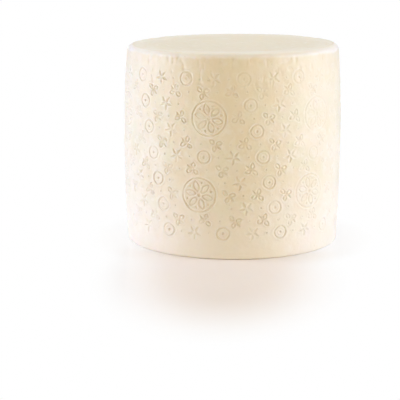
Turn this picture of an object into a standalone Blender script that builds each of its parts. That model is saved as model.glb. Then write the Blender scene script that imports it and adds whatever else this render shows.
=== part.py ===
"""A tall drum-shaped wheel of hard sheep's milk cheese, as one solid.

Metres, +Z up. The origin is the middle of the base, and +X is the side where the top stands highest.
The wheel bellies out a little, its upper rim is broadly rounded and its lower one nearly sharp. Its side
carries the shallow marks that the band of a cheese hoop presses into the soft rind: slanting rows of beaded
rings, trefoils and blossoms round larger rosettes, with a plain strip where the band's ends meet.
"""

import math

import bmesh
import bpy
from mathutils import Vector
from mathutils.geometry import delaunay_2d_cdt

# Driving dimensions of the wheel
HEIGHT = 0.282
BELLY_RADIUS = 0.155
BELLY_HEIGHT = 0.150
TOP_SHRINK = 0.0053  # how much narrower than the belly the side is at the top
BASE_SHRINK = 0.0043
BELLY_POWER = 2.2
TOP_FLAT_RADIUS = 0.141
TOP_RIM_HEIGHT = 0.0090  # height of the rounded upper rim
BASE_EDGE = 0.0035  # radius of the nearly sharp lower edge
DISH_DEPTH = 0.0016  # the top sinks this much towards its middle
DISH_RINGS = ((0.82, 0.4), (0.45, 1.0))  # (share of the flat radius, share of the dish's depth)

# How far the wheel is from a true round
TOP_LEAN = 0.0080  # rise of the top for each metre towards +X
OVAL = 0.0006
OVAL_TURN = 0.7
THREE_LOBES = 0.0005
LOBES_TURN = 1.9
WAIST_WANDER = 0.0005
WANDER_TURN = -0.4

# How finely the smooth surfaces are divided
RING_POINTS = 66
RIM_STEPS = 4
EDGE_STEPS = 2
FREE_POINT_PITCH = 0.024
FREE_POINT_GAP = 0.0050  # least distance from a mark
SMALLEST_EDGE = 0.00001
SHARP_ANGLE = math.radians(25)

# The pressed band
BAND_LOW = 0.012
BAND_HIGH = HEIGHT - TOP_RIM_HEIGHT - 0.004
FIRST_PLACE_HEIGHT = 0.037
LAST_PLACE_HEIGHT = 0.248
PLACES_IN_A_ROW = 13
ROWS = 24
ROW_SLANT = math.radians(48)
JOINT_HALF_WIDTH = 0.012  # plain strip where the ends of the band meet, at the back of the wheel
JOINT_RIDGE = 0.0008  # height of the low ridge beside the joint
JOINT_RIDGE_PLACE = 0.0045
JOINT_RIDGE_HALF_WIDTH = 0.0015
JOINT_RIDGE_END_GAP = 0.006

# The marks
MARK_DEPTH = 0.0014
GROOVE_WIDTH = 0.0030
MARK_REACH = 0.0106  # no small mark comes further than this from its middle
RING_RADIUS = 0.0086
RING_SIDES = 7
BEAD_RADIUS = 0.0028
PETAL_BELLY = 0.45  # share of a petal's length where it is widest
TREFOIL_PETALS = 3
TREFOIL_FOOT = 0.0012  # from the middle to the foot of each petal
TREFOIL_WIDTH = 0.0064
BLOSSOM_PETALS = 5
BLOSSOM_NOTCH = 0.0036  # from the middle to the corners between the petals
BLOSSOM_BELLY = 0.55
ROSETTE_RADIUS = 0.0235
ROSETTE_PETALS = 6
ROSETTE_REACH = ROSETTE_RADIUS + GROOVE_WIDTH / 2
PETAL_FOOT = 0.0050  # from the middle of the rosette to the foot of each petal
PETAL_LENGTH = 0.0148
PETAL_WIDTH = 0.0074
ROSETTE_ROW_STEP = 4
ROSETTE_PLACES = (3, 9)  # the places of the lower and the upper tier, two rows apart
GAP_BESIDE_ROSETTE = 0.0005

# The print fades towards the top of the front, where the band was slack
FADE_LOW = 0.190
FADE_HIGH = 0.240
FADE_HALF_WIDTH = 0.060
FADE_SHARE = 0.50
PATCHINESS = 0.22  # half the loss of depth where the band was slackest round the wheel
PATCHES_ROUND = 2
PATCHES_UP = 0.3
PATCH_TURN = -1.76
FAINTEST_MARK = 0.30  # a mark that would be fainter than this share is left out

RIND_COLOUR = (0.86, 0.79, 0.64, 1.0)
RIND_ROUGHNESS = 0.55

MILLIMETRES = 1000  # in a metre
GIRTH = 2 * math.pi * BELLY_RADIUS
BACK = math.pi / 2  # the angle of the joint in the band: +Y


def clear_scene():
    for thing in list(bpy.data.objects):
        bpy.data.objects.remove(thing)


def rind_material():
    material = bpy.data.materials.new("ivory_rind")
    material.use_nodes = True
    shader = material.node_tree.nodes["Principled BSDF"]
    shader.inputs["Base Color"].default_value = RIND_COLOUR
    shader.inputs["Roughness"].default_value = RIND_ROUGHNESS
    shader.inputs["Metallic"].default_value = 0.0
    return material


# ---- the form of the bare wheel ----


def side_radius(height):
    """The radius of the side at a height, widest at the belly."""
    if height > BELLY_HEIGHT:
        share = (height - BELLY_HEIGHT) / (HEIGHT - BELLY_HEIGHT)
        return BELLY_RADIUS - TOP_SHRINK * share**BELLY_POWER
    share = (BELLY_HEIGHT - height) / BELLY_HEIGHT
    return BELLY_RADIUS - BASE_SHRINK * share**BELLY_POWER


def placed(angle, radius, height):
    """The point of the wheel at that angle, radius and height, with its unevenness."""
    up = height / HEIGHT
    radius += radius / BELLY_RADIUS * (
        OVAL * math.cos(2 * angle + OVAL_TURN)
        + THREE_LOBES * math.cos(3 * angle + LOBES_TURN + up)
        + WAIST_WANDER * math.sin(angle + WANDER_TURN) * math.sin(math.pi * up)
    )
    x = radius * math.cos(angle)
    y = radius * math.sin(angle)
    return Vector((x, y, height + TOP_LEAN * x * up**3))


def rim_profile():
    """(radius, height) from the top of the pressed band over the rounded rim to the middle of the top."""
    rim_base = HEIGHT - TOP_RIM_HEIGHT
    reach = side_radius(rim_base) - TOP_FLAT_RADIUS
    points = []
    for step in range(RIM_STEPS + 1):
        turn = math.pi / 2 * step / RIM_STEPS
        points.append((TOP_FLAT_RADIUS + reach * math.cos(turn), rim_base + TOP_RIM_HEIGHT * math.sin(turn)))
    for radius_share, depth_share in DISH_RINGS:
        points.append((TOP_FLAT_RADIUS * radius_share, HEIGHT - DISH_DEPTH * depth_share))
    return points


def base_profile():
    """(radius, height) from the bottom of the pressed band round the lower edge to the flat base."""
    flat_radius = side_radius(BASE_EDGE) - BASE_EDGE
    points = []
    for step in range(EDGE_STEPS + 1):
        turn = math.pi / 2 * step / EDGE_STEPS
        points.append((flat_radius + BASE_EDGE * math.cos(turn), BASE_EDGE * (1 - math.sin(turn))))
    return points


# ---- the marks, laid out flat: across is the way round the wheel, up is the height ----


class FlatBand:
    """Points, edges and depths of the band's outline and marks, in millimetres for the triangulation."""

    def __init__(self):
        self.points = []
        self.depths = []
        self.edges = []
        self.circles = []  # (middle, reach) of each mark

    def add(self, across, up, depth=0.0):
        self.points.append(Vector((across, up)) * MILLIMETRES)
        self.depths.append(depth)
        return len(self.points) - 1

    def path(self, corners, depth=0.0, close=False):
        """Joins the corners by edges that the triangulation keeps."""
        numbers = [self.add(corner.x, corner.y, depth) for corner in corners]
        self.edges += list(zip(numbers, numbers[1:]))
        if close:
            self.edges.append((numbers[-1], numbers[0]))
        return numbers

    def is_clear(self, middle, reach):
        return all((middle - other).length > reach + other_reach for other, other_reach in self.circles)


def polygon(middle, radius, sides, turn):
    """The corners of a regular polygon about the middle."""
    corners = []
    for number in range(sides):
        angle = turn + 2 * math.pi * number / sides
        corners.append(middle + radius * Vector((math.cos(angle), math.sin(angle))))
    return corners


def print_strength(middle):
    """How firmly the band was pressed into the rind there, from 0 to 1."""
    from_front = (middle.x - GIRTH / 2) / FADE_HALF_WIDTH
    near_top = min(max((middle.y - FADE_LOW) / (FADE_HIGH - FADE_LOW), 0.0), 1.0)
    wave = 2 * math.pi * (PATCHES_ROUND * middle.x / GIRTH + PATCHES_UP * middle.y / HEIGHT)
    patchy = 1 - PATCHINESS * (1 + math.sin(wave + PATCH_TURN))
    return patchy * (1 - FADE_SHARE * near_top * math.exp(-(from_front**2)))


def press_ring(band, middle, radius, sides, depth):
    """A ring-shaped groove of V section, with its deepest line at the radius."""
    half = GROOVE_WIDTH / 2
    for offset, level in ((half, 0.0), (0.0, depth), (-half, 0.0)):
        band.path(polygon(middle, radius + offset, sides, ROW_SLANT), level, close=True)


def press_bead(band, middle, depth):
    """A three-sided pit."""
    band.path(polygon(middle, BEAD_RADIUS, 3, ROW_SLANT), close=True)
    band.add(middle.x, middle.y, depth)


def press_petal(band, foot, turn, length, width, depth):
    """A pointed groove that runs from its foot in the direction turn, deepest where it is widest."""
    along = Vector((math.cos(turn), math.sin(turn)))
    beside = Vector((-along.y, along.x)) * width / 2
    belly = foot + along * length * PETAL_BELLY
    band.path([foot, belly + beside, foot + along * length, belly - beside], close=True)
    band.add(belly.x, belly.y, depth)


def press_trefoil(band, middle, turn, depth):
    """Three broad petals."""
    for number in range(TREFOIL_PETALS):
        angle = turn + 2 * math.pi * number / TREFOIL_PETALS
        foot = middle + TREFOIL_FOOT * Vector((math.cos(angle), math.sin(angle)))
        press_petal(band, foot, angle, MARK_REACH - TREFOIL_FOOT, TREFOIL_WIDTH, depth)


def press_blossom(band, middle, depth):
    """A five-pointed flower, deepest at its middle and along each petal."""
    tips = polygon(middle, MARK_REACH, BLOSSOM_PETALS, ROW_SLANT)
    notches = polygon(middle, BLOSSOM_NOTCH, BLOSSOM_PETALS, ROW_SLANT + math.pi / BLOSSOM_PETALS)
    outline = []
    for tip, notch in zip(tips, notches):
        outline += [tip, notch]
    band.path(outline, close=True)
    bellies = polygon(middle, MARK_REACH * BLOSSOM_BELLY, BLOSSOM_PETALS, ROW_SLANT)
    for corner in [middle] + bellies:
        band.add(corner.x, corner.y, depth)


def press_rosette(band, middle, depth):
    """A ring round six petals and a bead."""
    press_ring(band, middle, ROSETTE_RADIUS, 2 * ROSETTE_PETALS, depth)
    press_bead(band, middle, depth)
    for number in range(ROSETTE_PETALS):
        turn = ROW_SLANT + 2 * math.pi * number / ROSETTE_PETALS
        foot = middle + PETAL_FOOT * Vector((math.cos(turn), math.sin(turn)))
        press_petal(band, foot, turn, PETAL_LENGTH, PETAL_WIDTH, depth)


def place_of(row, place):
    """The middle of one place in the slanting rows."""
    up = FIRST_PLACE_HEIGHT + (LAST_PLACE_HEIGHT - FIRST_PLACE_HEIGHT) * place / (PLACES_IN_A_ROW - 1)
    across = GIRTH * row / ROWS + (up - HEIGHT / 2) / math.tan(ROW_SLANT)
    return Vector((across % GIRTH, up))


def off_the_joint(middle, reach):
    return JOINT_HALF_WIDTH + reach < middle.x < GIRTH - JOINT_HALF_WIDTH - reach


def press_rosettes(band):
    """Two tiers of rosettes, half a step apart."""
    for row in range(0, ROWS, ROSETTE_ROW_STEP):
        for tier, place in enumerate(ROSETTE_PLACES):
            middle = place_of(row + tier * ROSETTE_ROW_STEP // 2, place)
            if off_the_joint(middle, ROSETTE_REACH):
                press_rosette(band, middle, MARK_DEPTH * print_strength(middle))
                band.circles.append((middle, ROSETTE_REACH + GAP_BESIDE_ROSETTE))


def press_small_marks(band):
    """A beaded ring, a trefoil or a blossom at each place that the rosettes leave free."""
    free_places = []
    for row in range(ROWS):
        for place in range(PLACES_IN_A_ROW):
            middle = place_of(row, place)
            if off_the_joint(middle, MARK_REACH) and band.is_clear(middle, MARK_REACH):
                if print_strength(middle) > FAINTEST_MARK:
                    free_places.append((middle, (place + 2 * row) % 4))
    for middle, kind in free_places:
        depth = MARK_DEPTH * print_strength(middle)
        if kind == 0:
            press_ring(band, middle, RING_RADIUS, RING_SIDES, depth)
            press_bead(band, middle, depth)
        elif kind == 2:
            press_blossom(band, middle, depth)
        else:
            upright = math.pi / 2 if kind == 1 else -math.pi / 2
            press_trefoil(band, middle, ROW_SLANT + upright, depth)
        band.circles.append((middle, MARK_REACH))


def add_outline(band):
    """The edges of the flat band. Its two ends match, because they are joined when it is rolled up."""
    steps_up = round((BAND_HIGH - BAND_LOW) / FREE_POINT_PITCH)
    ends = [BAND_LOW + (BAND_HIGH - BAND_LOW) * step / steps_up for step in range(steps_up + 1)]
    corners = [Vector((GIRTH * number / RING_POINTS, BAND_LOW)) for number in range(RING_POINTS)]
    corners += [Vector((GIRTH, up)) for up in ends[:-1]]
    corners += [Vector((GIRTH * number / RING_POINTS, BAND_HIGH)) for number in range(RING_POINTS, 0, -1)]
    corners += [Vector((0.0, up)) for up in reversed(ends[1:])]
    return band.path(corners, close=True)


def add_joint_ridge(band):
    """The low ridge that the gap between the ends of the band leaves, just beside the joint."""
    for side, depth in ((-1, 0.0), (0, -JOINT_RIDGE), (1, 0.0)):
        across = JOINT_RIDGE_PLACE + side * JOINT_RIDGE_HALF_WIDTH
        foot = Vector((across, BAND_LOW + JOINT_RIDGE_END_GAP))
        head = Vector((across, BAND_HIGH - JOINT_RIDGE_END_GAP))
        band.path([foot, head], depth)


def add_free_points(band):
    """Points between the marks, so that the plain rind keeps its curve."""
    columns = round(GIRTH / FREE_POINT_PITCH)
    rows = round((BAND_HIGH - BAND_LOW) / FREE_POINT_PITCH)
    for column in range(columns):
        for row in range(1, rows):
            stagger = 0.75 if row % 2 else 0.25
            across = GIRTH * (column + stagger) / columns
            middle = Vector((across, BAND_LOW + (BAND_HIGH - BAND_LOW) * row / rows))
            if FREE_POINT_PITCH / 2 < across and band.is_clear(middle, FREE_POINT_GAP):
                band.add(middle.x, middle.y)


# ---- the solid ----


def roll_up_band(mesh):
    """Triangulates the flat band and rolls it round the wheel."""
    band = FlatBand()
    outline = add_outline(band)
    press_rosettes(band)
    press_small_marks(band)
    add_joint_ridge(band)
    add_free_points(band)
    only_inside = 1
    found = delaunay_2d_cdt(band.points, band.edges, [outline], only_inside, SMALLEST_EDGE)
    points, triangles, sources = found[0], found[2], found[3]
    corners = []
    for point, source in zip(points, sources):
        depth = band.depths[source[0]] if source else 0.0
        across, up = point / MILLIMETRES
        angle = BACK + across / BELLY_RADIUS
        corners.append(mesh.verts.new(placed(angle, side_radius(up) - depth, up)))
    for triangle in triangles:
        mesh.faces.new([corners[number] for number in triangle])


def ring_of(mesh, radius, height):
    angles = [BACK + 2 * math.pi * number / RING_POINTS for number in range(RING_POINTS)]
    return [mesh.verts.new(placed(angle, radius, height)) for angle in angles]


def close_end(mesh, profile, start_height, upward):
    """Faces from the edge of the band along a profile, ending in a flat disc."""
    rings = [ring_of(mesh, side_radius(start_height), start_height)]
    rings += [ring_of(mesh, radius, height) for radius, height in profile]
    for lower, upper in zip(rings, rings[1:]):
        for number in range(RING_POINTS):
            following = (number + 1) % RING_POINTS
            corners = [lower[number], lower[following], upper[following], upper[number]]
            mesh.faces.new(corners if upward else corners[::-1])
    mesh.faces.new(rings[-1] if upward else rings[-1][::-1])


def make_wheel():
    mesh = bmesh.new()
    roll_up_band(mesh)
    close_end(mesh, rim_profile(), BAND_HIGH, upward=True)
    close_end(mesh, base_profile(), BAND_LOW, upward=False)
    bmesh.ops.remove_doubles(mesh, verts=mesh.verts[:], dist=SMALLEST_EDGE)
    bmesh.ops.recalc_face_normals(mesh, faces=mesh.faces[:])
    data = bpy.data.meshes.new("cheese_wheel")
    mesh.to_mesh(data)
    mesh.free()
    data.shade_smooth()
    data.set_sharp_from_angle(angle=SHARP_ANGLE)
    data.materials.append(rind_material())
    wheel = bpy.data.objects.new("cheese_wheel", data)
    bpy.context.scene.collection.objects.link(wheel)
    return wheel


clear_scene()
make_wheel()
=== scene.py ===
import math

import bpy
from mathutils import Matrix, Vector


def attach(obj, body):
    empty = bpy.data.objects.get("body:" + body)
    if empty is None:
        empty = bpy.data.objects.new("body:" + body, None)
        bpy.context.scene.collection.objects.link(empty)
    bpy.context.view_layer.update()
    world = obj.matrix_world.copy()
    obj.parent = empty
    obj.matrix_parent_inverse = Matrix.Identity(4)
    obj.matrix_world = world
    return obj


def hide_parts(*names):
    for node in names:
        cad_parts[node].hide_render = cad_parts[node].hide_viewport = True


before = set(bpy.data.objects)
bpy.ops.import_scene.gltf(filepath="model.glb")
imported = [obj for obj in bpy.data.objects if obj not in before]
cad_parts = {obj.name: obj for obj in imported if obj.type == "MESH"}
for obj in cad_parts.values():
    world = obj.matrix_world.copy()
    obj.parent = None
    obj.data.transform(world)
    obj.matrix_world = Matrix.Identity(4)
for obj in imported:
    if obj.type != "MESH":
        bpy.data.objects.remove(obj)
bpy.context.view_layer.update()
print("frame loaded:", ", ".join(sorted(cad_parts)))


class Wire:
    # one output socket; arithmetic on wires and numbers adds Math nodes
    def __init__(self, graph, socket):
        self.graph = graph
        self.socket = socket


def arithmetic(operation, reflected=False):
    def apply(self, other):
        first, second = (other, self) if reflected else (self, other)
        return self.graph.math(operation, first, second)

    return apply


for symbol, operation in {
    "add": "ADD",
    "sub": "SUBTRACT",
    "mul": "MULTIPLY",
    "truediv": "DIVIDE",
    "pow": "POWER",
    "mod": "FLOORED_MODULO",
}.items():
    setattr(Wire, f"__{symbol}__", arithmetic(operation))
    setattr(Wire, f"__r{symbol}__", arithmetic(operation, reflected=True))
Wire.__lt__ = arithmetic("LESS_THAN")
Wire.__gt__ = arithmetic("GREATER_THAN")


class Graph:
    # adds nodes to one tree
    def __init__(self, tree):
        self.tree = tree

    def add(self, kind, settings=None, values=None, output=0):
        # output names the socket, or the tuple of sockets, to hand back; None hands back the node
        node = self.tree.nodes.new(kind)
        for name, setting in (settings or {}).items():
            if name == "captures":
                for captureName, captureKind in setting:
                    node.capture_items.new(captureKind, captureName)
            else:
                setattr(node, name, setting)
        for name, value in (values or {}).items():
            for one in value if isinstance(value, list) else [value]:
                if isinstance(one, Wire):
                    self.tree.links.new(one.socket, node.inputs[name])
                else:
                    node.inputs[name].default_value = one
        if output is None:
            return node
        if isinstance(output, tuple):
            return tuple(Wire(self, node.outputs[name]) for name in output)
        return Wire(self, node.outputs[output])

    def math(self, operation, *terms):
        return self.add("ShaderNodeMath", {"operation": operation}, dict(enumerate(terms)))

    def limit(self, value, low=0.0, high=1.0):
        return self.math("MINIMUM", self.math("MAXIMUM", value, low), high)

    def ease(self, value, start, end):
        # 0 before start, 1 after end, with a smooth step between
        settings = {"interpolation_type": "SMOOTHSTEP"}
        values = {"Value": value, "From Min": start, "From Max": end}
        return self.add("ShaderNodeMapRange", settings, values)

    def hump(self, value, middle, halfWidth):
        # 1 at the middle, falling off smoothly to both sides
        off = (value - middle) / halfWidth
        return self.math("EXPONENT", -1 * off * off)

    def vector(self, x=0.0, y=0.0, z=0.0):
        return self.add("ShaderNodeCombineXYZ", None, {"X": x, "Y": y, "Z": z})

    def split(self, vector):
        return self.add("ShaderNodeSeparateXYZ", None, {"Vector": vector}, ("X", "Y", "Z"))

    def vectorMath(self, operation, *terms):
        # a length comes from the node's second output
        output = "Value" if operation == "LENGTH" else "Vector"
        return self.add("ShaderNodeVectorMath", {"operation": operation}, dict(enumerate(terms)), output)

    def scaled(self, vector, scale):
        values = {0: vector, "Scale": scale}
        return self.add("ShaderNodeVectorMath", {"operation": "SCALE"}, values)

    def noise(self, vector, scale, detail=2.0, output=0):
        values = {"Vector": vector, "Scale": scale, "Detail": detail}
        return self.add("ShaderNodeTexNoise", None, values, output)

    def swing(self, vector, scale, detail=2.0):
        # noise about zero, from roughly -1 to 1
        return (self.noise(vector, scale, detail) - 0.5) * 2

    def cells(self, vector, scale):
        # distance to the nearest cell's middle in metres, and two chance values of that cell
        values = {"Vector": vector, "Scale": scale}
        distance, colour = self.add("ShaderNodeTexVoronoi", None, values, ("Distance", "Color"))
        first, second, unused = self.split(colour)
        return distance / scale, first, second

    def mix(self, factor, first, second):
        # sockets 0, 6 and 7 are the Mix node's factor and its two colours, and 2 is the mixed colour
        return self.add("ShaderNodeMix", {"data_type": "RGBA"}, {0: factor, 6: first, 7: second}, 2)


def geometryGraph(name, inputs):
    # a Geometry Nodes tree with a named input for each size
    tree = bpy.data.node_groups.new(name, "GeometryNodeTree")
    kinds = {int: "NodeSocketInt", float: "NodeSocketFloat"}
    for label, value in inputs.items():
        kind = kinds.get(type(value), "NodeSocket" + type(value).__name__)
        socket = tree.interface.new_socket(name=label, in_out="INPUT", socket_type=kind)
        if type(value) in kinds:
            socket.default_value = value
    tree.interface.new_socket(name="Geometry", in_out="OUTPUT", socket_type="NodeSocketGeometry")
    graph = Graph(tree)
    source = graph.add("NodeGroupInput", output=None)
    return graph, {label: Wire(graph, source.outputs[label]) for label in inputs}


def plainMesh(name, graph, inputs):
    # runs the tree once and keeps its result as a plain mesh object
    carrier = bpy.data.objects.new(name + "Carrier", bpy.data.meshes.new(name + "Carrier"))
    bpy.context.scene.collection.objects.link(carrier)
    modifier = carrier.modifiers.new(name, "NODES")
    modifier.node_group = graph.tree
    for item in graph.tree.interface.items_tree:
        if item.in_out == "INPUT":
            modifier[item.identifier] = inputs[item.name]
    evaluated = carrier.evaluated_get(bpy.context.evaluated_depsgraph_get())
    mesh = bpy.data.meshes.new_from_object(evaluated)
    mesh.name = name
    bpy.data.objects.remove(carrier)
    piece = bpy.data.objects.new(name, mesh)
    bpy.context.scene.collection.objects.link(piece)
    return piece


# the wheel in metres, with its base on the floor
wheelShape = {
    "height": 0.282,
    "bellyRadius": 0.155,
    "bellyHeight": 0.150,
    "topShrink": 0.0053,  # how much narrower than the belly the side is at the top
    "baseShrink": 0.0043,
    "bellyPower": 2.2,
    "topFlatRadius": 0.141,
    "rimHeight": 0.0090,
    "baseEdge": 0.0035,
    "flatBase": 0.0060,  # the relief sets in over this height
    "dishDepth": 0.0016,
    "topLean": 0.0080,  # rise of the top for each metre towards +X
    "oval": 0.0006,
    "ovalTurn": 0.7,
    "threeLobes": 0.0005,
    "lobesTurn": 1.9,
    "waistWander": 0.0005,
    "wanderTurn": -0.4,
}
meshFineness = {
    "columns": 1000,  # round the wheel
    "sideStep": 0.00095,
    "topStep": 0.0026,
    "baseStep": 0.0200,
    "edgeSteps": 5,
    "rimSteps": 16,
    "mergeDistance": 0.00002,  # closes the poles
    "mostTriangles": 190000,
}
girth = 2 * math.pi * wheelShape["bellyRadius"]
backAngle = math.pi / 2  # where the ends of the pressed band meet: +Y


def sideRadius(up):
    shape = wheelShape
    if up > shape["bellyHeight"]:
        share = (up - shape["bellyHeight"]) / (shape["height"] - shape["bellyHeight"])
        return shape["bellyRadius"] - shape["topShrink"] * share ** shape["bellyPower"]
    share = (shape["bellyHeight"] - up) / shape["bellyHeight"]
    return shape["bellyRadius"] - shape["baseShrink"] * share ** shape["bellyPower"]


def profilePoints():
    # (radius, height) from the middle of the base, round the edge, up the side and over the rim
    shape, fine = wheelShape, meshFineness
    edge, rimBase = shape["baseEdge"], shape["height"] - shape["rimHeight"]
    flat = sideRadius(edge) - edge
    steps = round(flat / fine["baseStep"])
    points = [(flat * step / steps, 0.0) for step in range(steps)]
    for step in range(fine["edgeSteps"]):
        turn = math.pi / 2 * step / fine["edgeSteps"]
        points.append((flat + edge * math.sin(turn), edge * (1 - math.cos(turn))))
    steps = round((rimBase - edge) / fine["sideStep"])
    for step in range(steps):
        up = edge + (rimBase - edge) * step / steps
        points.append((sideRadius(up), up))
    reach = sideRadius(rimBase) - shape["topFlatRadius"]
    for step in range(fine["rimSteps"]):
        turn = math.pi / 2 * step / fine["rimSteps"]
        radius = shape["topFlatRadius"] + reach * math.cos(turn)
        points.append((radius, rimBase + shape["rimHeight"] * math.sin(turn)))
    steps = round(shape["topFlatRadius"] / fine["topStep"])
    for step in range(steps + 1):
        share = 1 - step / steps
        dish = shape["dishDepth"] * (1 - share**2) ** 2
        points.append((shape["topFlatRadius"] * share, shape["height"] - dish))
    return points


def profileCurve():
    data = bpy.data.curves.new("profileLine", "CURVE")
    points = profilePoints()
    spline = data.splines.new("POLY")
    spline.points.add(len(points) - 1)
    for point, (radius, up) in zip(spline.points, points):
        point.co = (radius, up, 0.0, 1.0)
    line = bpy.data.objects.new("profileLine", data)
    bpy.context.scene.collection.objects.link(line)
    return line


# the print that the hoop's band left in the side, laid out flat: across is the way round, up the height
pressedPrint = {
    "rows": 24,
    "placesInRow": 13,
    "firstPlace": 0.037,
    "lastPlace": 0.248,
    "rowSlant": math.radians(48),
    "markReach": 0.0106,  # no small mark comes further than this from its middle
    "markTurn": math.radians(4),  # each mark is turned by up to this much
    "lineHalfWidth": 0.00140,
    "thinLine": 0.00116,  # half width of the lines round petals
    "ringRadius": 0.0086,
    "beadRadius": 0.0008,
    "rayFoot": 0.0016,
    "rayLength": 0.0086,
    "rayHalfWidth": 0.0020,
    "rayBend": 0.06,
    "blossomRays": 5,
    "trefoilFoot": 0.0016,
    "trefoilLength": 0.0080,
    "trefoilHalfWidth": 0.0024,
    "stemLength": 0.0098,
    "rosetteRadius": 0.0235,
    "rosetteReach": 0.0250,
    "rosettePetals": 6,
    "petalFoot": 0.0050,
    "petalLength": 0.0148,
    "petalHalfWidth": 0.0037,
    "innerRing": 0.0015,
    "beadPlace": 0.0178,  # from the rosette's middle to the small beads between its petals
    "rosetteRowStep": 4,
    "lowTier": 3,
    "highTier": 9,
    "gapBesideRosette": 0.0005,
    "studRadius": 0.0005,  # small beads midway between the rows
    "studLine": 0.0009,
    "studReach": 0.0030,
    "jointHalfWidth": 0.012,
    "fadeLow": 0.190,  # the band was slack towards the top of the front
    "fadeHigh": 0.240,
    "fadeHalfWidth": 0.060,
    "fadeShare": 0.35,
    "patchiness": 0.25,
    "patchesRound": 2,
    "patchesUp": 0.3,
    "patchTurn": -1.76,
    "faintestMark": 0.30,
    "depth": 0.00126,
    "lip": 0.00062,  # height of the swollen edge beside each groove
    "lipPlace": 1.45,  # in half widths of the line
    "lipHalfWidth": 0.42,
    "wobble": 0.00085,
    "wobbleScale": 260.0,
    "wearScale": 42.0,
    "wearMiddle": 0.85,
    "wearSwing": 2.4,
    "wearLeast": 0.25,
    "wearMost": 1.3,
    "grooveRoundness": 1.5,
    "strokeStep": 0.0006,
    "seed": 7,
}


def placeInRow(graph, size, row, place):
    # (across, up) of one place in the slanting rows
    share = place / (size["placesInRow"] - 1)
    up = size["firstPlace"] + (size["lastPlace"] - size["firstPlace"]) * share
    slant = (up - size["height"] / 2) / graph.math("TANGENT", size["rowSlant"])
    return (row * girth / size["rows"] + slant) % girth, up


def printStrength(graph, size, across, up):
    # how firmly the band was pressed in there
    nearTop = graph.limit((up - size["fadeLow"]) / (size["fadeHigh"] - size["fadeLow"]))
    slack = nearTop * graph.hump(across, girth / 2, size["fadeHalfWidth"]) * size["fadeShare"]
    wave = across * size["patchesRound"] / girth + up * size["patchesUp"] / size["height"]
    patchy = 1 - size["patchiness"] * (1 + graph.math("SINE", 2 * math.pi * wave + size["patchTurn"]))
    return patchy * (1 - slack)


def moved(graph, geometry, place=(0.0, 0.0, 0.0), turn=0.0):
    values = {"Geometry": geometry, "Translation": place, "Rotation": graph.vector(z=turn)}
    return graph.add("GeometryNodeTransform", None, values)


def joined(graph, pieces):
    return graph.add("GeometryNodeJoinGeometry", None, {"Geometry": pieces})


def withAttribute(graph, geometry, name, value):
    settings = {"data_type": "FLOAT", "domain": "POINT"}
    values = {"Geometry": geometry, "Name": name, "Value": value}
    return graph.add("GeometryNodeStoreNamedAttribute", settings, values)


def named(graph, name):
    settings = {"data_type": "FLOAT"}
    return graph.add("GeometryNodeInputNamedAttribute", settings, {"Name": name}, "Attribute")


def stroke(graph, size, curve, halfWidth):
    # a line of the print, divided finely, that knows how wide it is
    values = {"Curve": curve, "Length": size["strokeStep"]}
    line = graph.add("GeometryNodeResampleCurve", {"mode": "LENGTH"}, values)
    return withAttribute(graph, line, "halfWidth", halfWidth)


def bentLine(graph, foot, length, firstBend, secondBend):
    # a line along X whose two handles are pushed sideways
    values = {
        "Start": graph.vector(foot),
        "Start Handle": graph.vector(foot + length * 0.3, firstBend),
        "End Handle": graph.vector(foot + length * 0.75, secondBend),
        "End": graph.vector(foot + length),
        "Resolution": 24,
    }
    return graph.add("GeometryNodeCurvePrimitiveBezierSegment", None, values)


def ray(graph, size, length, foot):
    # a stroke with pointed ends, widest short of its middle
    along = graph.add("GeometryNodeSplineParameter", output="Factor")
    belly = graph.math("SINE", math.pi * graph.math("POWER", along, 0.8))
    bend = length * size["rayBend"]
    line = bentLine(graph, foot, length, bend, bend)
    return stroke(graph, size, line, size["rayHalfWidth"] * (0.28 + 0.72 * belly))


def petal(graph, size, foot, length, halfWidth):
    # the outline of a petal along X: two bent lines
    sides = []
    for side in (-1, 1):
        swell = 1.35 * halfWidth * side
        line = bentLine(graph, foot, length, swell, swell)
        sides.append(stroke(graph, size, line, size["thinLine"]))
    return joined(graph, sides)


def circle(graph, size, radius, halfWidth):
    values = {"Resolution": 96, "Radius": radius}
    ring = graph.add("GeometryNodeCurvePrimitiveCircle", {"mode": "RADIUS"}, values)
    return stroke(graph, size, ring, halfWidth)


def allRound(graph, geometry, count, turn=0.0):
    # copies of a piece all round the middle of a mark
    points = graph.add("GeometryNodePoints", None, {"Count": count})
    number = graph.add("GeometryNodeInputIndex")
    angle = graph.vector(z=turn + number * (2 * math.pi) / count)
    values = {"Points": points, "Instance": geometry, "Rotation": angle}
    copies = graph.add("GeometryNodeInstanceOnPoints", None, values)
    return graph.add("GeometryNodeRealizeInstances", None, {"Geometry": copies})


def beadedRing(graph, size):
    ring = circle(graph, size, size["ringRadius"], size["lineHalfWidth"])
    return joined(graph, [ring, circle(graph, size, size["beadRadius"], size["lineHalfWidth"])])


def trefoil(graph, size):
    # three petals and a stem
    outline = petal(graph, size, size["trefoilFoot"], size["trefoilLength"], size["trefoilHalfWidth"])
    stem = ray(graph, size, size["stemLength"], size["beadRadius"])
    return joined(graph, [allRound(graph, outline, 3), moved(graph, stem, turn=math.pi)])


def blossom(graph, size):
    return allRound(graph, ray(graph, size, size["rayLength"], size["rayFoot"]), size["blossomRays"])


def rosette(graph, size):
    outline = petal(graph, size, size["petalFoot"], size["petalLength"], size["petalHalfWidth"])
    bead = circle(graph, size, size["beadRadius"], size["thinLine"])
    bead = moved(graph, bead, graph.vector(size["beadPlace"]))
    pieces = [
        circle(graph, size, size["rosetteRadius"], size["lineHalfWidth"]),
        circle(graph, size, size["innerRing"], size["lineHalfWidth"]),
        allRound(graph, outline, size["rosettePetals"]),
        allRound(graph, bead, size["rosettePetals"], math.pi / size["rosettePetals"]),
    ]
    return joined(graph, pieces)


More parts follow.
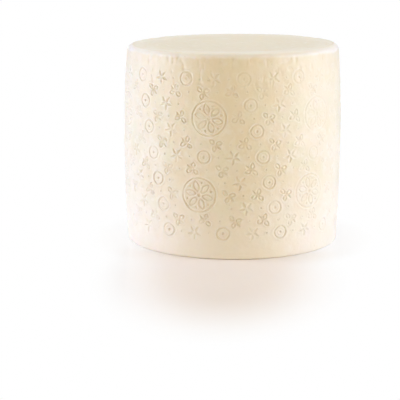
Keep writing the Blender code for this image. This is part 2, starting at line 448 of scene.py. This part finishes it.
def onPlaces(graph, size, places, mark, turn, chosen=True):
    # the mark on the chosen places, each turned a little by chance
    # inputs 2 and 3 of Random Value are its least and greatest number, and output 1 is the number
    chance = {2: -1 * size["markTurn"], 3: size["markTurn"], "Seed": size["seed"]}
    shake = graph.add("FunctionNodeRandomValue", {"data_type": "FLOAT"}, chance, 1)
    angle = graph.vector(z=turn + shake)
    values = {"Points": places, "Instance": mark, "Rotation": angle, "Selection": chosen}
    return graph.add("GeometryNodeInstanceOnPoints", None, values)


def without(graph, geometry, selection):
    values = {"Geometry": geometry, "Selection": selection}
    return graph.add("GeometryNodeDeleteGeometry", {"domain": "POINT"}, values)


def pointsAt(graph, size, count, across, up):
    values = {"Count": count, "Position": graph.vector(across, up)}
    points = graph.add("GeometryNodePoints", None, values)
    return withAttribute(graph, points, "strength", printStrength(graph, size, across, up))


def offTheBand(graph, size, reach):
    # true for points whose mark would cross the joint of the band
    across = graph.split(graph.add("GeometryNodeInputPosition"))[0]
    edge = size["jointHalfWidth"] + reach
    return graph.math("MAXIMUM", across < edge, across > girth - edge)


def rosettePlaces(graph, size):
    # two tiers, the upper half a step further round
    number = graph.add("GeometryNodeInputIndex")
    high = number % 2
    row = (graph.math("FLOOR", number / 2) + high / 2) * size["rosetteRowStep"]
    place = size["lowTier"] + high * (size["highTier"] - size["lowTier"])
    count = 2 * size["rows"] / size["rosetteRowStep"]
    points = pointsAt(graph, size, count, *placeInRow(graph, size, row, place))
    return without(graph, points, offTheBand(graph, size, size["rosetteReach"]))


def smallPlaces(graph, size, rosettes, reach, rowShift=0.0):
    # the places that the rosettes, the joint and the slack part leave free; kind is 0 to 3
    number = graph.add("GeometryNodeInputIndex")
    row = graph.math("FLOOR", number / size["placesInRow"])
    place = number % size["placesInRow"]
    count = size["rows"] * size["placesInRow"]
    places = pointsAt(graph, size, count, *placeInRow(graph, size, row + rowShift, place))
    places = withAttribute(graph, places, "kind", (place + 2 * row) % 4)
    settings = {"target_element": "POINTS"}
    nearest = graph.add("GeometryNodeProximity", settings, {"Geometry": rosettes}, "Distance")
    crowded = nearest < reach + size["rosetteReach"] + size["gapBesideRosette"]
    places = without(graph, places, crowded)
    places = without(graph, places, offTheBand(graph, size, reach))
    return without(graph, places, named(graph, "strength") < size["faintestMark"])


def printLines(graph, size):
    # the lines of all the marks on the flat band
    rosettes = rosettePlaces(graph, size)
    places = smallPlaces(graph, size, rosettes, size["markReach"])
    between = smallPlaces(graph, size, rosettes, size["studReach"], 0.5)
    kind, slant, clover = named(graph, "kind"), size["rowSlant"], trefoil(graph, size)
    second, third = (graph.math("COMPARE", kind, wanted, 0.1) for wanted in (1.0, 2.0))
    marks = [
        onPlaces(graph, size, rosettes, rosette(graph, size), slant),
        onPlaces(graph, size, places, beadedRing(graph, size), slant, kind < 0.5),
        onPlaces(graph, size, places, clover, slant + math.pi / 2, second),
        onPlaces(graph, size, places, blossom(graph, size), slant, third),
        onPlaces(graph, size, places, clover, slant - math.pi / 2, kind > 2.5),
        onPlaces(graph, size, between, circle(graph, size, size["studRadius"], size["studLine"]), slant),
    ]
    lines = graph.add("GeometryNodeRealizeInstances", None, {"Geometry": joined(graph, marks)})
    return graph.add("GeometryNodeCurveToMesh", None, {"Curve": lines})


def pressedDepth(graph, size, across, up):
    # (share of the groove's full depth, share of the lip beside it) at a point of the flat band
    lines = printLines(graph, size)
    flat = graph.vector(across, up)
    shake = graph.noise(flat, size["wobbleScale"], 1.0, "Color")
    shake = graph.vectorMath("SUBTRACT", shake, (0.5, 0.5, 0.5))
    shaken = graph.vectorMath("ADD", flat, graph.scaled(shake, size["wobble"] * 2))
    x, y, unused = graph.split(shaken)
    values = {"Geometry": lines, "Sample Position": graph.vector(x, y)}
    settings = {"target_element": "EDGES"}
    distance = graph.add("GeometryNodeProximity", settings, values, "Distance")
    nearest = graph.add("GeometryNodeSampleNearest", {"domain": "POINT"}, values)
    found = []
    for name in ("halfWidth", "strength"):
        settings = {"data_type": "FLOAT", "domain": "POINT"}
        values = {"Geometry": lines, "Value": named(graph, name), "Index": nearest}
        found.append(graph.add("GeometryNodeSampleIndex", settings, values))
    halfWidth, strength = found
    wear = size["wearMiddle"] + size["wearSwing"] * (graph.noise(flat, size["wearScale"]) - 0.5)
    strength = strength * graph.limit(wear, size["wearLeast"], size["wearMost"])
    ratio = distance / halfWidth
    inside = (1 - graph.limit(ratio) ** 2) ** size["grooveRoundness"]
    lip = graph.hump(ratio, size["lipPlace"], size["lipHalfWidth"])
    return inside * strength, lip * strength


# the rind's own unevenness
rindRelief = {
    "broadDents": 0.00060,
    "broadScale": 16.0,
    "smallDents": 0.00045,
    "smallScale": 75.0,
    "pitDepth": 0.00060,
    "pitRadius": 0.0011,
    "pitScale": 62.0,  # pits to the metre
    "pitShare": 0.35,
    "fluteDepth": 0.00080,  # upright press lines near the top
    "fluteScale": 126.0,
    "fluteFrom": 0.52,
    "fluteFull": 0.72,
    "fluteBreaks": 0.45,
    "fluteLow": 0.205,
    "fluteHigh": 0.255,
    "rimDents": 0.00110,  # where the rim was knocked
    "rimDentScale": 55.0,
    "rimDentFrom": 0.50,
    "rimDentFull": 0.72,
    "topRings": 0.00090,  # faint rings pressed in the top face
    "firstTopRing": 0.034,
    "topRingStep": 0.039,
    "topRingHalfWidth": 0.0045,
    "ringWearScale": 25.6,
    "ringWearFrom": 0.42,
    "ringWearFull": 0.62,
    "ridgeHeight": 0.0008,  # beside the joint of the band
    "ridgePlace": 0.0045,
    "ridgeHalfWidth": 0.0016,
    "ridgeEndGap": 0.012,  # from the base; above it the ridge grows to its full height
    "ridgeTopGap": 0.004,  # the same below the rim
    "ridgeRise": 0.012,
}


def dentsAndPits(graph, size, spot):
    broad = graph.swing(spot, size["broadScale"], 1.0) * size["broadDents"]
    small = graph.swing(spot, size["smallScale"]) * size["smallDents"]
    distance, chosen, unused = graph.cells(spot, size["pitScale"])
    pit = graph.limit(1 - distance / (size["pitRadius"] * (0.5 + chosen)))
    return broad + small - size["pitDepth"] * pit * (chosen < size["pitShare"])


def flutes(graph, size, across, up):
    wave = graph.noise(graph.vector(across, up * size["fluteBreaks"]), size["fluteScale"])
    high = graph.ease(up, size["fluteLow"], size["fluteHigh"])
    low = graph.ease(up, size["height"], size["height"] - size["rimHeight"])
    return graph.ease(wave, size["fluteFrom"], size["fluteFull"]) * high * low * size["fluteDepth"]


def rimDents(graph, size, spot, up):
    wave = graph.noise(spot, size["rimDentScale"])
    dents = graph.ease(wave, size["rimDentFrom"], size["rimDentFull"]) * size["rimDents"]
    return dents * graph.hump(up, size["height"] - size["rimHeight"], size["rimHeight"])


def topRings(graph, size, x, y, up):
    fromAxis = graph.math("SQRT", x * x + y * y)
    rings = 0.0
    for number in range(3):
        radius = size["firstTopRing"] + number * size["topRingStep"]
        rings = rings + graph.hump(fromAxis, radius, size["topRingHalfWidth"])
    wave = graph.noise(graph.vector(x, y), size["ringWearScale"])
    worn = graph.ease(wave, size["ringWearFrom"], size["ringWearFull"])
    return rings * worn * (up > size["height"] - size["rimHeight"] / 2) * size["topRings"]


def jointRidge(graph, size, across, up):
    ridge = graph.hump(across, size["ridgePlace"], size["ridgeHalfWidth"]) * size["ridgeHeight"]
    low, high = size["ridgeEndGap"], size["height"] - size["rimHeight"] - size["ridgeTopGap"]
    rise = graph.ease(up, low, low + size["ridgeRise"])
    return ridge * rise * graph.ease(up, high, high - size["ridgeRise"])


def turnedWheel(graph, size):
    # the profile turned round the axis; every point keeps its way round and its place on the profile
    values = {"Resolution": size["columns"]}
    turns = graph.add("GeometryNodeCurvePrimitiveCircle", {"mode": "RADIUS"}, values)
    capture = {"captures": [("round", "FLOAT")], "domain": "POINT"}
    values = {"Geometry": turns, 1: graph.add("GeometryNodeSplineParameter", output="Factor")}
    turns, roundShare = graph.add("GeometryNodeCaptureAttribute", capture, values, (0, 1))
    profile = graph.add("GeometryNodeObjectInfo", None, {"Object": size["profile"]}, "Geometry")
    capture = {"captures": [("profile", "VECTOR")], "domain": "POINT"}
    values = {"Geometry": profile, 1: graph.add("GeometryNodeInputPosition")}
    profile, outline = graph.add("GeometryNodeCaptureAttribute", capture, values, (0, 1))
    values = {"Curve": turns, "Profile Curve": profile}
    wheel = graph.add("GeometryNodeCurveToMesh", None, values)
    radius, up, unused = graph.split(outline)
    return wheel, roundShare, radius, up


def roundedSpot(graph, size, roundShare, radius, up):
    # the place of a point on the slightly uneven drum
    angle = backAngle + roundShare * (2 * math.pi)
    lift = up / size["height"]
    oval = size["oval"] * graph.math("COSINE", 2 * angle + size["ovalTurn"])
    lobes = size["threeLobes"] * graph.math("COSINE", 3 * angle + size["lobesTurn"] + lift)
    wander = size["waistWander"] * graph.math("SINE", angle + size["wanderTurn"])
    wander = wander * graph.math("SINE", lift * math.pi)
    radius = radius + radius / size["bellyRadius"] * (oval + lobes + wander)
    return graph.vector(radius * graph.math("COSINE", angle), radius * graph.math("SINE", angle), up)


def wheelGraph(inputs):
    graph, size = geometryGraph("cheeseWheelForm", inputs)
    wheel, roundShare, radius, up = turnedWheel(graph, size)
    across = roundShare * girth
    spot = roundedSpot(graph, size, roundShare, radius, up)
    wheel = graph.add("GeometryNodeSetPosition", None, {"Geometry": wheel, "Position": spot})
    # the poles are closed before the relief pulls their points apart, and the faces turned outwards
    values = {"Geometry": wheel, "Distance": size["mergeDistance"]}
    wheel = graph.add("GeometryNodeMergeByDistance", None, values)
    wheel = graph.add("GeometryNodeFlipFaces", None, {"Mesh": wheel})

    # the print stays on the mesh as two attributes, for the rind's colour too
    pressed, lip = pressedDepth(graph, size, across, up)
    wheel = withAttribute(graph, wheel, "pressed", pressed)
    wheel = withAttribute(graph, wheel, "lip", lip)

    here = graph.add("GeometryNodeInputPosition")
    x, y, unused = graph.split(here)
    relief = dentsAndPits(graph, size, here) + jointRidge(graph, size, across, up)
    relief = relief - flutes(graph, size, across, up) - topRings(graph, size, x, y, up)
    relief = relief - rimDents(graph, size, here, up)
    relief = relief - size["depth"] * named(graph, "pressed") + size["lip"] * named(graph, "lip")
    relief = relief * graph.ease(up, 0.0, size["flatBase"])
    offset = graph.scaled(graph.add("GeometryNodeInputNormal"), relief)
    wheel = graph.add("GeometryNodeSetPosition", None, {"Geometry": wheel, "Offset": offset})
    lean = graph.vector(z=size["topLean"] * x * (up / size["height"]) ** 3)
    wheel = graph.add("GeometryNodeSetPosition", None, {"Geometry": wheel, "Offset": lean})
    wheel = graph.add("GeometryNodeRealizeInstances", None, {"Geometry": wheel})
    values = {"Geometry": wheel, "Material": size["material"]}
    wheel = graph.add("GeometryNodeSetMaterial", None, values)
    graph.add("NodeGroupOutput", None, {"Geometry": wheel}, None)
    return graph


def thinned(piece, mostTriangles):
    # collapses the flattest faces until the piece is small enough
    mesh = piece.data
    mesh.calc_loop_triangles()
    modifier = piece.modifiers.new("thin", "DECIMATE")
    modifier.ratio = min(1.0, mostTriangles / len(mesh.loop_triangles))
    modifier.use_collapse_triangulate = True
    evaluated = piece.evaluated_get(bpy.context.evaluated_depsgraph_get())
    result = bpy.data.meshes.new_from_object(evaluated)
    piece.modifiers.remove(modifier)
    piece.data = result
    bpy.data.meshes.remove(mesh)
    result.name = piece.name
    result.shade_smooth()


# the rind's tones are linear colours
rindTones = {
    "pale": (0.848, 0.768, 0.588, 1.0),
    "straw": (0.822, 0.720, 0.508, 1.0),
    "greenish": (0.775, 0.740, 0.525, 1.0),
    "peach": (0.842, 0.738, 0.565, 1.0),
    "groove": (0.708, 0.607, 0.408, 1.0),
    # a pale tone for worn places, and for the painted highlights on the rim, lips, streaks and top edge
    "paleWearAndHighlight": (0.905, 0.855, 0.742, 1.0),
    # the top face's greyer, darker tone
    "topFaceTone": (0.820, 0.745, 0.590, 1.0),
    # painted bounce light from the floor, on the foot of the side
    "footBounceLight": (0.940, 0.870, 0.745, 1.0),
    "pinhole": (0.480, 0.380, 0.220, 1.0),
}
# each cloud of tone: its noise, how far it is shifted, where it sets in and is full, and its share
rindClouds = [
    {"tone": "straw", "scale": 17, "detail": 4, "shift": 0.0, "from": 0.36, "full": 0.64, "share": 1.0},
    {"tone": "greenish", "scale": 24, "detail": 2, "shift": 0.9, "from": 0.46, "full": 0.66, "share": 0.55},
    {"tone": "peach", "scale": 38, "detail": 3, "shift": 0.3, "from": 0.50, "full": 0.70, "share": 0.35},
    {"tone": "paleWearAndHighlight", "scale": 95, "detail": 4, "shift": 0.6, "from": 0.50, "full": 0.66, "share": 0.32},
    {"tone": "groove", "scale": 140, "detail": 4, "shift": 0.2, "from": 0.56, "full": 0.74, "share": 0.30},
]
rindLook = {
    "roughness": 0.50,
    "roughnessSwing": 0.15,
    "rougherGroove": 0.08,
    "rougherTop": 0.08,
    # darker grooves: partly the print's own tone, partly painted shade in them
    "grooveToneAndShade": 0.30,
    # paler lips beside the grooves: a painted highlight
    "lipHighlight": 0.85,
    # pale upright streaks near the top of the side: painted highlights
    "streakScale": 120.0,
    "streakStretch": 0.22,
    "streakFrom": 0.50,
    "streakFull": 0.75,
    "streakLow": 0.19,
    "streakHigh": 0.26,
    "streakHighlight": 0.42,
    "topOuter": 0.0025,  # the top's tone ends between these distances outside and inside its flat radius
    "topInner": 0.0015,
    "topTint": 0.55,
    "topEdgeReflection": 0.58,  # painted reflection: the top grows paler towards its edge
    "topEdgeStart": 0.098,
    # painted bounce light from the floor: the side grows paler towards its foot
    "footLow": 0.015,
    "footHeight": 0.135,
    "footBounceShare": 0.62,
    "upperShadeShare": 0.50,  # painted shade: the upper side is darker and yellower, where less light comes up from the floor
    "upperLow": 0.160,
    "upperHigh": 0.250,
    # the rim is paler: partly wear, partly a painted highlight where it catches the light
    "rimWearAndHighlight": 0.92,
    "rimFade": 0.0040,
    "raggedRim": 0.0036,  # how far the pale rim's lower edge wanders up and down
    "raggedScale": 70.0,
    "pinholeScale": 150.0,
    "pinholeRadius": 0.0007,
    "pinholeCore": 0.0003,
    "pinholeShare": 0.16,
    "pinholeTint": 0.45,
    "grainScale": 620.0,
    "grainTint": 0.10,
    "grainHeight": 0.00016,
    "skinScale": 210.0,
    "skinHeight": 0.00040,
    "pinholeDepth": 0.00040,
    "turningScale": 150.0,  # short scuffs along rings on the top face
    "turningStretch": 0.28,
    "paleScuffFrom": 0.10,
    "darkScuffFrom": -0.08,
    "scuffFull": 0.22,
    "turningTint": 0.56,
    "turningHeight": 0.00030,
}


def cloudedColour(graph, spot):
    colour = rindTones["pale"]
    for cloud in rindClouds:
        shifted = graph.vectorMath("ADD", spot, (cloud["shift"],) * 3)
        wave = graph.noise(shifted, cloud["scale"], cloud["detail"])
        share = graph.ease(wave, cloud["from"], cloud["full"]) * cloud["share"]
        colour = graph.mix(share, colour, rindTones[cloud["tone"]])
    return colour


def rindMaterial():
    look, tones, shape = rindLook, rindTones, wheelShape
    material = bpy.data.materials.new("ivoryRind")
    material.use_nodes = True
    material.node_tree.nodes.clear()
    graph = Graph(material.node_tree)
    spot = graph.add("ShaderNodeTexCoord", output="Object")
    x, y, z = graph.split(spot)
    fromAxis = graph.math("SQRT", x * x + y * y)
    pressed, lip = (
        graph.add("ShaderNodeAttribute", {"attribute_name": name}, None, "Fac")
        for name in ("pressed", "lip")
    )
    flat = shape["topFlatRadius"]
    top = graph.ease(fromAxis, flat + look["topOuter"], flat - look["topInner"])
    top = top * (z > shape["height"] / 2)
    rim = graph.ease(fromAxis, flat, flat + look["rimFade"])
    ragged = z + graph.swing(spot, look["raggedScale"], 3.0) * look["raggedRim"]
    rim = rim * graph.ease(ragged, shape["height"] - shape["rimHeight"], shape["height"] - look["rimFade"])
    grain = graph.noise(spot, look["grainScale"], 3.0)

    colour = cloudedColour(graph, spot)
    # painted highlights: pale upright streaks near the top of the side
    streaks = graph.vectorMath("MULTIPLY", spot, (1.0, 1.0, look["streakStretch"]))
    streaks = graph.ease(graph.noise(streaks, look["streakScale"]), look["streakFrom"], look["streakFull"])
    streaks = streaks * graph.ease(z, look["streakLow"], look["streakHigh"]) * look["streakHighlight"]
    colour = graph.mix(streaks, colour, tones["paleWearAndHighlight"])
    # painted shade: the upper side darker and yellower
    upper = graph.ease(z, look["upperLow"], look["upperHigh"]) * look["upperShadeShare"]
    colour = graph.mix(upper, colour, tones["straw"])
    # the top face in a greyer, darker tone
    colour = graph.mix(top * look["topTint"], colour, tones["topFaceTone"])
    # painted reflection: the top paler towards its edge
    edge = graph.ease(fromAxis, look["topEdgeStart"], flat) * top
    colour = graph.mix(edge * look["topEdgeReflection"], colour, tones["paleWearAndHighlight"])
    along = graph.vector(fromAxis, x * look["turningStretch"], y * look["turningStretch"])
    turning = graph.noise(along, look["turningScale"]) - 0.5
    scuffs = top * look["turningTint"]
    paleScuffs = graph.ease(turning, look["paleScuffFrom"], look["scuffFull"]) * scuffs
    darkScuffs = graph.ease(turning, look["darkScuffFrom"], -look["scuffFull"]) * scuffs
    colour = graph.mix(paleScuffs, colour, tones["paleWearAndHighlight"])
    colour = graph.mix(darkScuffs, colour, tones["straw"])
    # the rim paler: partly wear, partly a painted highlight where it catches the light
    colour = graph.mix(rim * look["rimWearAndHighlight"], colour, tones["paleWearAndHighlight"])
    # painted bounce light from the floor: the side paler towards its foot
    foot = graph.ease(z, look["footHeight"], look["footLow"]) * look["footBounceShare"]
    colour = graph.mix(foot, colour, tones["footBounceLight"])
    # darker grooves: partly the print's own tone, partly painted shade in them
    colour = graph.mix(pressed * look["grooveToneAndShade"], colour, tones["groove"])
    # painted highlight on the swollen lips beside the grooves
    colour = graph.mix(graph.limit(lip * look["lipHighlight"]), colour, tones["paleWearAndHighlight"])
    distance, unused, chosen = graph.cells(spot, look["pinholeScale"])
    pinhole = graph.ease(distance, look["pinholeRadius"], look["pinholeCore"])
    pinhole = (chosen < look["pinholeShare"]) * pinhole
    colour = graph.mix(pinhole * look["pinholeTint"], colour, tones["pinhole"])
    colour = graph.mix(graph.limit(grain) * look["grainTint"], colour, tones["paleWearAndHighlight"])

    skin = graph.swing(spot, look["skinScale"])
    rough = look["roughness"] + skin * look["roughnessSwing"]
    rough = rough + pressed * look["rougherGroove"] + top * look["rougherTop"]
    fine = grain * look["grainHeight"] + skin * look["skinHeight"] / 2 - pinhole * look["pinholeDepth"]
    fine = fine + top * turning * look["turningHeight"]
    bump = {"Height": fine, "Distance": 1.0, "Strength": 0.8}
    values = {
        "Base Color": colour,
        "Roughness": rough,
        "Normal": graph.add("ShaderNodeBump", None, bump, "Normal"),
        "Metallic": 0.0,
        "IOR": 1.45,
        "Specular IOR Level": 0.28,
        "Subsurface Weight": 0.22,
        "Subsurface Radius": (1.0, 0.62, 0.34),
        "Subsurface Scale": 0.0035,
        "Coat Weight": 0.03,
        "Coat Roughness": 0.38,
    }
    shader = graph.add("ShaderNodeBsdfPrincipled", None, values)
    graph.add("ShaderNodeOutputMaterial", None, {"Surface": shader}, None)
    return material


def makeWheel():
    profile = profileCurve()
    inputs = {**wheelShape, **pressedPrint, **rindRelief}
    inputs["columns"] = meshFineness["columns"]
    inputs["mergeDistance"] = meshFineness["mergeDistance"]
    inputs["profile"] = profile
    inputs["material"] = rindMaterial()
    graph = wheelGraph(inputs)
    print("wheel: node tree with", len(graph.tree.nodes), "nodes")
    wheel = plainMesh("cheeseRind", graph, inputs)
    bpy.data.objects.remove(profile)
    print("wheel:", len(wheel.data.polygons), "faces before thinning")
    thinned(wheel, meshFineness["mostTriangles"])
    print("wheel:", len(wheel.data.polygons), "faces")
    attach(wheel, "root")
    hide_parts("cheese_wheel")


studio = {
    "floorRadius": 9.0,
    "floorCorners": 96,
    "floorColour": (0.99, 0.937, 0.888, 1.0),
    "floorRoughness": 0.30,
    "whiteFrom": 0.11,  # the camera sees the floor turn white between these distances from greyPlace
    "whiteFull": 0.33,
    "greyPlace": (-0.015, -0.22, 0.0),
    "greyStretch": (1.9, 1.0, 1.0),
    "footReach": 0.060,  # beside the wheel's foot the floor keeps this share of its own shade
    "footShare": 0.60,
    "footBehind": 0.30,  # and this much of that share at the sides and behind
    "footFront": -0.14,
    "footBack": -0.07,
    "backdrop": (1.0, 1.0, 1.0, 1.0),
    "roomLight": (0.135, 0.106, 0.063, 1.0),  # what reaches the wheel from all round
    "aimHeight": 0.12,
}
# each softbox: degrees round from the camera's side, degrees up, distance, (width, height), watts, colour
softboxes = {
    "frontSoftbox": (15, 28, 2.6, (0.9, 0.7), 18.7, (1.0, 0.80, 0.41)),
    "leftSoftbox": (-84, 10, 1.8, (1.2, 1.3), 38.5, (0.655, 0.735, 1.0)),
    "rightSoftbox": (78, 9, 1.8, (1.2, 1.3), 35.5, (0.612, 0.712, 1.0)),
    "topSoftbox": (180, 88, 2.3, (1.6, 1.6), 12.5, (1.0, 0.94, 0.81)),
    "backSoftbox": (180, 42, 2.2, (1.6, 1.2), 24.5, (0.79, 0.87, 0.98)),
}
cameraView = {
    "place": (0.0, -2.1, 0.489),
    "pitchDown": math.radians(11.74),
    "turnLeft": math.radians(1.283),
    "lens": 132.2,
    "sensorWidth": 36.0,
}


def floorMaterial():
    material = bpy.data.materials.new("paleFloor")
    material.use_nodes = True
    material.node_tree.nodes.clear()
    graph = Graph(material.node_tree)
    spot = graph.add("ShaderNodeTexCoord", output="Object")
    fromAxis = graph.vectorMath("LENGTH", spot)
    foot = graph.ease(fromAxis, wheelShape["bellyRadius"] + studio["footReach"], wheelShape["bellyRadius"])
    front = graph.ease(graph.split(spot)[1], studio["footBack"], studio["footFront"])
    foot = foot * (studio["footBehind"] + (1 - studio["footBehind"]) * front)
    spot = graph.vectorMath("SUBTRACT", spot, studio["greyPlace"])
    fromGrey = graph.vectorMath("LENGTH", graph.vectorMath("MULTIPLY", spot, studio["greyStretch"]))
    away = graph.ease(fromGrey, studio["whiteFrom"], studio["whiteFull"])
    away = away * (1 - foot * studio["footShare"])
    camera = graph.add("ShaderNodeLightPath", output="Is Camera Ray")
    values = {"Base Color": studio["floorColour"], "Roughness": studio["floorRoughness"]}
    near = graph.add("ShaderNodeBsdfPrincipled", None, values)
    white = graph.add("ShaderNodeEmission", None, {"Color": studio["backdrop"]})
    both = graph.add("ShaderNodeMixShader", None, {0: away * camera, 1: near, 2: white})
    graph.add("ShaderNodeOutputMaterial", None, {"Surface": both}, None)
    return material


def makeFloor():
    data = bpy.data.meshes.new("studioFloor")
    radius, count = studio["floorRadius"], studio["floorCorners"]
    corners = []
    for number in range(count):
        angle = 2 * math.pi * number / count
        corners.append((radius * math.cos(angle), radius * math.sin(angle), 0.0))
    data.from_pydata(corners, [], [tuple(range(len(corners)))])
    floor = bpy.data.objects.new("studioFloor", data)
    bpy.context.scene.collection.objects.link(floor)
    data.materials.append(floorMaterial())


def makeWorld():
    # the camera sees a white backdrop; everything else is lit by a dim warm room
    world = bpy.data.worlds.new("studioWhite")
    bpy.context.scene.world = world
    world.use_nodes = True
    world.node_tree.nodes.clear()
    graph = Graph(world.node_tree)
    camera = graph.add("ShaderNodeLightPath", output="Is Camera Ray")
    white = graph.add("ShaderNodeBackground", None, {"Color": studio["backdrop"]})
    room = graph.add("ShaderNodeBackground", None, {"Color": studio["roomLight"]})
    both = graph.add("ShaderNodeMixShader", None, {0: camera, 1: room, 2: white})
    graph.add("ShaderNodeOutputWorld", None, {"Surface": both}, None)


def makeSoftbox(name, azimuth, elevation, distance, size, energy, colour):
    data = bpy.data.lights.new(name, "AREA")
    data.shape = "RECTANGLE"
    data.size, data.size_y = size
    data.energy = energy
    data.color = colour
    light = bpy.data.objects.new(name, data)
    level = distance * math.cos(math.radians(elevation))
    side, back = math.sin(math.radians(azimuth)), -math.cos(math.radians(azimuth))
    aim = Vector((0.0, 0.0, studio["aimHeight"]))
    place = aim + Vector((level * side, level * back, distance * math.sin(math.radians(elevation))))
    light.location = place
    light.rotation_euler = (aim - place).to_track_quat("-Z", "Y").to_euler()
    light.visible_camera = False
    bpy.context.scene.collection.objects.link(light)


def makeCamera():
    data = bpy.data.cameras.new("camera")
    data.lens = cameraView["lens"]
    data.sensor_width = cameraView["sensorWidth"]
    camera = bpy.data.objects.new("camera", data)
    camera.location = cameraView["place"]
    camera.rotation_euler = (math.pi / 2 - cameraView["pitchDown"], 0.0, cameraView["turnLeft"])
    bpy.context.scene.collection.objects.link(camera)
    bpy.context.scene.camera = camera


bpy.context.scene.view_settings.view_transform = "Standard"
makeWheel()
makeFloor()
makeWorld()
for name, softbox in softboxes.items():
    makeSoftbox(name, *softbox)
makeCamera()
print("studio: floor, backdrop,", len(softboxes), "softboxes and camera")

bpy.context.view_layer.update()
